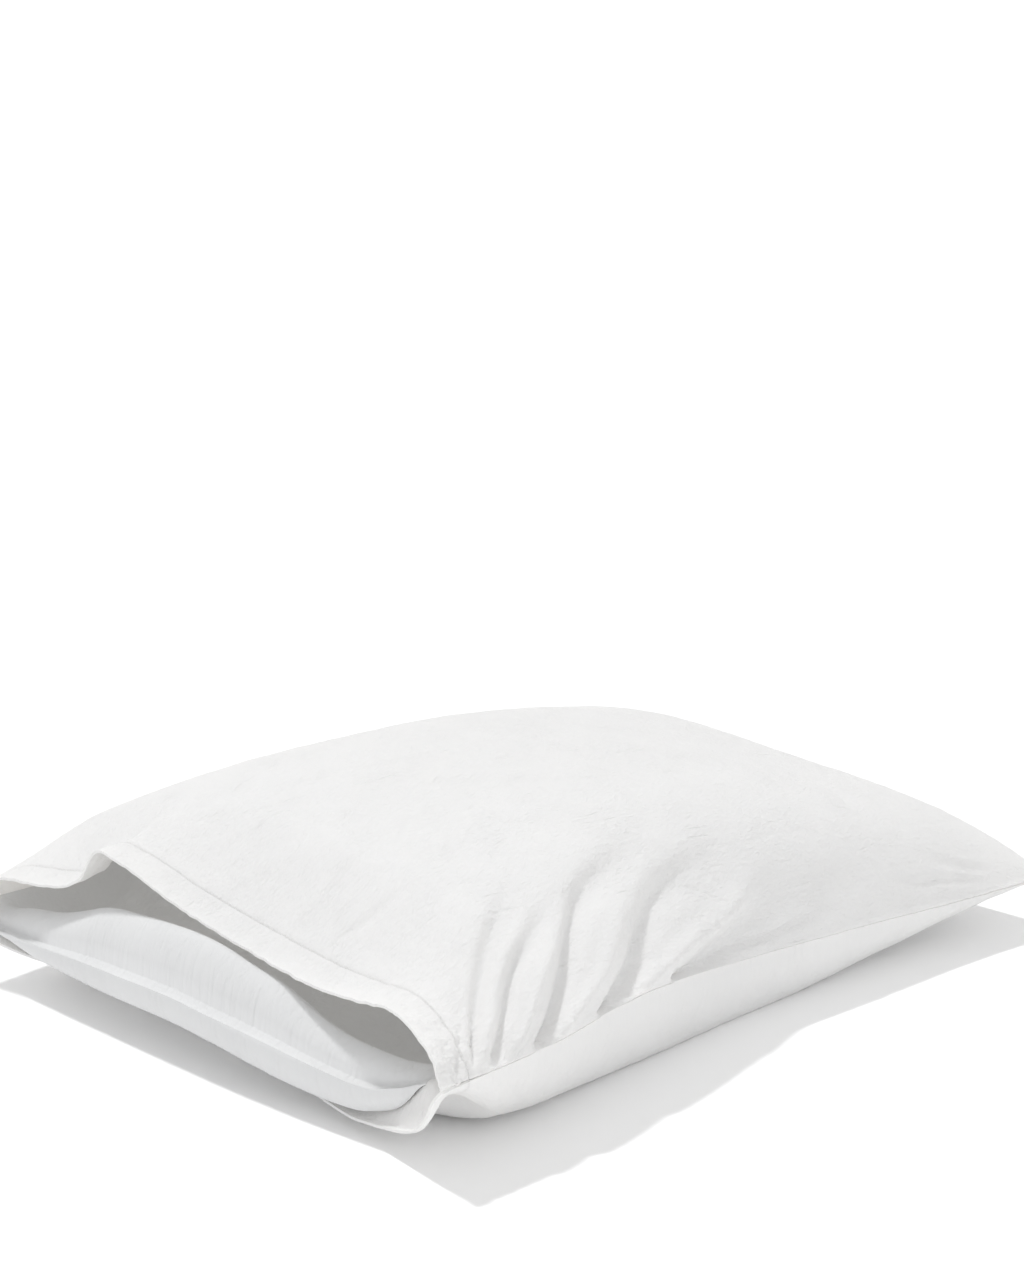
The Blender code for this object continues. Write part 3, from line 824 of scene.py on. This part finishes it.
def effectGroup(name, inputs, outputs):
    # takes a place on the cloth and some numbers, and gives numbers
    group = bpy.data.node_groups.new(name, "ShaderNodeTree")
    group.interface.new_socket(name="Place", in_out="INPUT", socket_type="NodeSocketVector")
    for labels, direction in ((inputs, "INPUT"), (outputs, "OUTPUT")):
        for label in labels:
            group.interface.new_socket(name=label, in_out=direction, socket_type="NodeSocketFloat")
    return group, group.nodes.new("NodeGroupInput").outputs, group.nodes.new("NodeGroupOutput").inputs


def put(tree, value, socket):
    # a link from a socket, or a plain value
    if isinstance(value, bpy.types.NodeSocket):
        tree.links.new(value, socket)
    else:
        socket.default_value = value


def calculate(tree, operation, first, second=0.0):
    node = tree.nodes.new("ShaderNodeMath")
    node.operation = operation
    put(tree, first, node.inputs[0])
    put(tree, second, node.inputs[1])
    return node.outputs["Value"]


def scaled(tree, vector, size, stretch=(1, 1, 1)):
    # the place divided by a size, and stretched along an axis
    divide = tree.nodes.new("ShaderNodeVectorMath")
    divide.operation = "DIVIDE"
    join = tree.nodes.new("ShaderNodeCombineXYZ")
    for axis, factor in zip("XYZ", stretch):
        put(tree, calculate(tree, "MULTIPLY", size, factor), join.inputs[axis])
    tree.links.new(vector, divide.inputs[0])
    tree.links.new(join.outputs["Vector"], divide.inputs[1])
    return divide.outputs["Vector"]


def noise(tree, place, size, pattern):
    node = tree.nodes.new("ShaderNodeTexNoise")
    node.inputs["Scale"].default_value = 1.0
    node.inputs["Detail"].default_value = pattern["detail"]
    node.inputs["Distortion"].default_value = pattern.get("distortion", 0.0)
    tree.links.new(scaled(tree, place, size, pattern["stretch"]), node.inputs["Vector"])
    return node.outputs["Fac"]


def ramp(tree, value, low, high):
    node = tree.nodes.new("ShaderNodeMapRange")
    node.interpolation_type = "SMOOTHSTEP"
    put(tree, value, node.inputs["Value"])
    put(tree, low, node.inputs["From Min"])
    put(tree, high, node.inputs["From Max"])
    return node.outputs["Result"]


def fromMiddle(tree, value):
    # a noise folded at its middle, 0 along winding lines
    return calculate(tree, "ABSOLUTE", calculate(tree, "SUBTRACT", value, 0.5))


def makeCrinkle():
    # washed cloth: creased and soft waves, long creases that cross them, and slow changes of tone
    shape = crinkleShape
    tree, given, result = effectGroup("washedCrinkle", ["Size", "Depth", "Crease"], ["Height", "Tone"])
    wide, fine, patches, paths = (noise(tree, given["Place"], given["Size"], shape[name])
                                  for name in ("wide", "fine", "patches", "paths"))
    creases = calculate(tree, "MULTIPLY", fromMiddle(tree, wide), shape["creaseShare"])
    height = calculate(tree, "ADD", creases, fine)
    least, more = shape["strength"]
    strength = calculate(tree, "MULTIPLY", ramp(tree, patches, *shape["patchRange"]), more)
    strength = calculate(tree, "ADD", strength, least)
    height = calculate(tree, "MULTIPLY", calculate(tree, "MULTIPLY", height, strength), given["Depth"])
    # long soft creases that come and go
    offPath = ramp(tree, fromMiddle(tree, paths), 0.0, shape["creaseWidth"])
    line = calculate(tree, "SUBTRACT", 1.0, offPath)
    line = calculate(tree, "MULTIPLY", line, ramp(tree, patches, *shape["creaseRange"]))
    height = calculate(tree, "SUBTRACT", height, calculate(tree, "MULTIPLY", line, given["Crease"]))
    tree.links.new(height, result["Height"])
    tree.links.new(patches, result["Tone"])
    return tree


def makeWeave():
    # threads over and under each other, with thicker and thinner ones among them
    shape = weaveShape
    tree, given, result = effectGroup("plainWeave", ["Thread", "Depth"], ["Height", "Slub"])
    axes = tree.nodes.new("ShaderNodeSeparateXYZ")
    tree.links.new(scaled(tree, given["Place"], given["Thread"]), axes.inputs["Vector"])
    turns = [calculate(tree, "MULTIPLY", axes.outputs[axis], math.pi) for axis in "XY"]
    over = calculate(tree, "MULTIPLY", *[calculate(tree, "SINE", turn) for turn in turns])
    slubs = [noise(tree, given["Place"], given["Thread"], shape[name])
             for name in ("acrossSlub", "alongSlub")]
    slub = calculate(tree, "MULTIPLY", calculate(tree, "ADD", *slubs), 0.5)
    height = calculate(tree, "ADD", over, calculate(tree, "MULTIPLY", slub, shape["slubHeight"]))
    tree.links.new(calculate(tree, "MULTIPLY", height, given["Depth"]), result["Height"])
    tree.links.new(slub, result["Slub"])
    return tree


def makeStitchRow():
    # one row of short stitches at a set distance from the hem's edge, the holes between them,
    # and the hem's doubled band
    tree, given, result = effectGroup("stitchRow", ["Distance", "Length", "Width"],
                                      ["Stitches", "Holes", "Hem"])
    axes = tree.nodes.new("ShaderNodeSeparateXYZ")
    tree.links.new(given["Place"], axes.inputs["Vector"])
    off = calculate(tree, "ABSOLUTE", calculate(tree, "SUBTRACT", axes.outputs["Y"], given["Distance"]))
    off = calculate(tree, "DIVIDE", off, given["Width"])
    inRow = calculate(tree, "SUBTRACT", 1.0, ramp(tree, off, *stitchShape["edge"]))
    step = calculate(tree, "FRACT", calculate(tree, "DIVIDE", axes.outputs["X"], given["Length"]))
    inHole = ramp(tree, step, *stitchShape["gap"])
    inStitch = calculate(tree, "SUBTRACT", 1.0, inHole)
    tree.links.new(calculate(tree, "MULTIPLY", inRow, inStitch), result["Stitches"])
    tree.links.new(calculate(tree, "MULTIPLY", inRow, inHole), result["Holes"])
    tree.links.new(calculate(tree, "LESS_THAN", axes.outputs["Y"], given["Distance"]), result["Hem"])
    return tree


crinkleTree = makeCrinkle()
weaveTree = makeWeave()
stitchTree = makeStitchRow()


def useGroup(tree, group, place, values):
    node = tree.nodes.new("ShaderNodeGroup")
    node.node_tree = group
    tree.links.new(place, node.inputs["Place"])
    for label, value in values.items():
        put(tree, value, node.inputs[label])
    return node.outputs


def mixColors(tree, share, first, second):
    node = tree.nodes.new("ShaderNodeMix")
    node.data_type = "RGBA"
    put(tree, share, node.inputs["Factor"])
    put(tree, first, node.inputs["A"])
    put(tree, second, node.inputs["B"])
    return node.outputs["Result"]


def between(tree, share, ends):
    node = tree.nodes.new("ShaderNodeMapRange")
    put(tree, share, node.inputs["Value"])
    node.inputs["To Min"].default_value, node.inputs["To Max"].default_value = ends
    return node.outputs["Result"]


def clothFinish(name, look, hemmed):
    material = bpy.data.materials.new(name)
    material.use_nodes = True
    tree = material.node_tree
    shader = tree.nodes["Principled BSDF"]
    clothMap = tree.nodes.new("ShaderNodeUVMap")
    clothMap.uv_map = "UVMap"
    place = clothMap.outputs["UV"]
    crinkle = useGroup(tree, crinkleTree, place, {"Size": look["crinkleSize"],
                                                  "Depth": look["crinkleDepth"],
                                                  "Crease": look["creaseDepth"]})
    weave = useGroup(tree, weaveTree, place, {"Thread": look["thread"], "Depth": look["threadDepth"]})
    height = calculate(tree, "ADD", crinkle["Height"], weave["Height"])
    toneShare = clothShare["toneShare"]
    tone = calculate(tree, "MULTIPLY", ramp(tree, crinkle["Tone"], *clothShare["toneRange"]), toneShare)
    tone = calculate(tree, "ADD", tone, calculate(tree, "MULTIPLY", weave["Slub"], 1 - toneShare))
    color = mixColors(tree, tone, look["color"], look["shadeColor"])
    if hemmed:
        stitches = useGroup(tree, stitchTree, place, {"Distance": case["hemWidth"],
                                                      "Length": look["stitchLength"],
                                                      "Width": look["stitchWidth"]})
        raised = calculate(tree, "MULTIPLY", stitches["Stitches"], look["stitchDepth"])
        height = calculate(tree, "ADD", height, raised)
        # painted shade in the needle holes between the stitches
        holes = calculate(tree, "MULTIPLY", stitches["Holes"], look["holePaintedShade"])
        color = mixColors(tree, holes, color, look["holePaintedShadeColor"])
        # painted shade on the doubled hem band, darkening it to the single cloth's brightness
        hem = calculate(tree, "MULTIPLY", stitches["Hem"], look["hemPaintedShade"])
        color = mixColors(tree, hem, color, look["hemPaintedShadeColor"])
    tree.links.new(color, shader.inputs["Base Color"])
    tree.links.new(between(tree, tone, look["roughness"]), shader.inputs["Roughness"])
    shader.inputs["Sheen Weight"].default_value = look["sheen"]
    shader.inputs["Sheen Roughness"].default_value = clothShare["sheenRoughness"]
    shader.inputs["Specular IOR Level"].default_value = clothShare["specular"]
    bump = tree.nodes.new("ShaderNodeBump")
    bump.inputs["Distance"].default_value = 1.0
    tree.links.new(height, bump.inputs["Height"])
    tree.links.new(bump.outputs["Normal"], shader.inputs["Normal"])
    if hemmed:
        # daylight that comes through the cloth, less through the doubled hem
        through = tree.nodes.new("ShaderNodeBsdfTranslucent")
        through.inputs["Color"].default_value = look["throughColor"]
        blend = tree.nodes.new("ShaderNodeMixShader")
        share = between(tree, stitches["Hem"], (look["through"], look["throughHem"]))
        tree.links.new(share, blend.inputs["Fac"])
        tree.links.new(shader.outputs["BSDF"], blend.inputs[1])
        tree.links.new(through.outputs["BSDF"], blend.inputs[2])
        tree.links.new(blend.outputs["Shader"], tree.nodes["Material Output"].inputs["Surface"])
    return material


whiteCotton = clothFinish("whiteWashedCotton", cottonLook, True)
pillowTicking = clothFinish("pillowTicking", tickingLook, False)

topPanel = makeTopPanel()
bottomPanel = makeBottomPanel()
pillowBody = makePillow()
for piece, finish in ((topPanel, whiteCotton), (bottomPanel, whiteCotton), (pillowBody, pillowTicking)):
    piece.data.materials.clear()
    piece.data.materials.append(finish)

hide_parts("top_panel")
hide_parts("bottom_panel")
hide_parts("pillow")
for piece in (topPanel, bottomPanel, pillowBody):
    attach(piece, "root")


studio = {
    "floorSize": 60,
    "floorDrop": 0.0003,     # under the pillowcase, so the two don't share a plane
    "floorColor": (1, 1, 1, 1),
    "skyColor": (1, 1, 1, 1),
    "skyStrength": 0.72,
    "fillPlace": (2.6, -0.4, 1.2),    # a large soft light beside the near side seam, aimed at the origin
    "fillSize": 2.5,
    "fillPower": 10,
    "sunStrength": 1.48,
    "sunHeight": 65,         # degrees above the floor, shining towards +x
    "sunSoftness": 4.5,      # degrees that the sun spans, for the shadow's soft edge
    "bounces": 10,           # so that light finds its way into the mouth
}
view = {
    "azimuth": 45.4,         # degrees round from the mouth towards the gathered side
    "tilt": 15.2,            # and above the floor
    "distance": 2.2,
    "right": -0.011,         # the camera's place beside and above the line to the origin
    "up": 0.226,
    "lens": 85,
    "farEnd": 100,
}

bpy.ops.object.select_all(action="DESELECT")
bpy.ops.mesh.primitive_plane_add(size=studio["floorSize"], location=(0, 0, -studio["floorDrop"]))
floor = bpy.context.object
floor.name = "studioFloor"
floorPaint = bpy.data.materials.new("paleFloor")
floorPaint.use_nodes = True
floorShader = floorPaint.node_tree.nodes["Principled BSDF"]
floorShader.inputs["Base Color"].default_value = studio["floorColor"]
floorShader.inputs["Roughness"].default_value = 1.0
floorShader.inputs["Specular IOR Level"].default_value = 0.0
floor.data.materials.append(floorPaint)

world = bpy.data.worlds.new("studioSky")
bpy.context.scene.world = world
world.use_nodes = True
sky = world.node_tree.nodes["Background"]
sky.inputs["Color"].default_value = studio["skyColor"]
sky.inputs["Strength"].default_value = studio["skyStrength"]

bpy.ops.object.light_add(type="SUN")
sun = bpy.context.object
sun.data.energy = studio["sunStrength"]
sun.data.angle = math.radians(studio["sunSoftness"])
sun.rotation_euler = (0, math.radians(studio["sunHeight"] - 90), 0)

bpy.ops.object.light_add(type="AREA", location=studio["fillPlace"])
fill = bpy.context.object
fill.data.size = studio["fillSize"]
fill.data.energy = studio["fillPower"]
fill.rotation_euler = Vector(studio["fillPlace"]).to_track_quat("Z", "Y").to_euler()

turn, tip = math.radians(view["azimuth"]), math.radians(view["tilt"])
back = Vector((math.sin(turn) * math.cos(tip), -math.cos(turn) * math.cos(tip), math.sin(tip)))
right = back.cross(Vector((0, 0, -1))).normalized()
up = back.cross(right)
place = back * view["distance"] + right * view["right"] + up * view["up"]
bpy.ops.object.camera_add()
camera = bpy.context.object
camera.matrix_world = Matrix.Translation(place) @ Matrix((right, up, back)).transposed().to_4x4()
camera.data.lens = view["lens"]
camera.data.clip_end = view["farEnd"]
bpy.context.scene.camera = camera
bpy.context.scene.view_settings.view_transform = "Standard"
bpy.context.scene.cycles.diffuse_bounces = studio["bounces"]
print("floor, light and camera set")
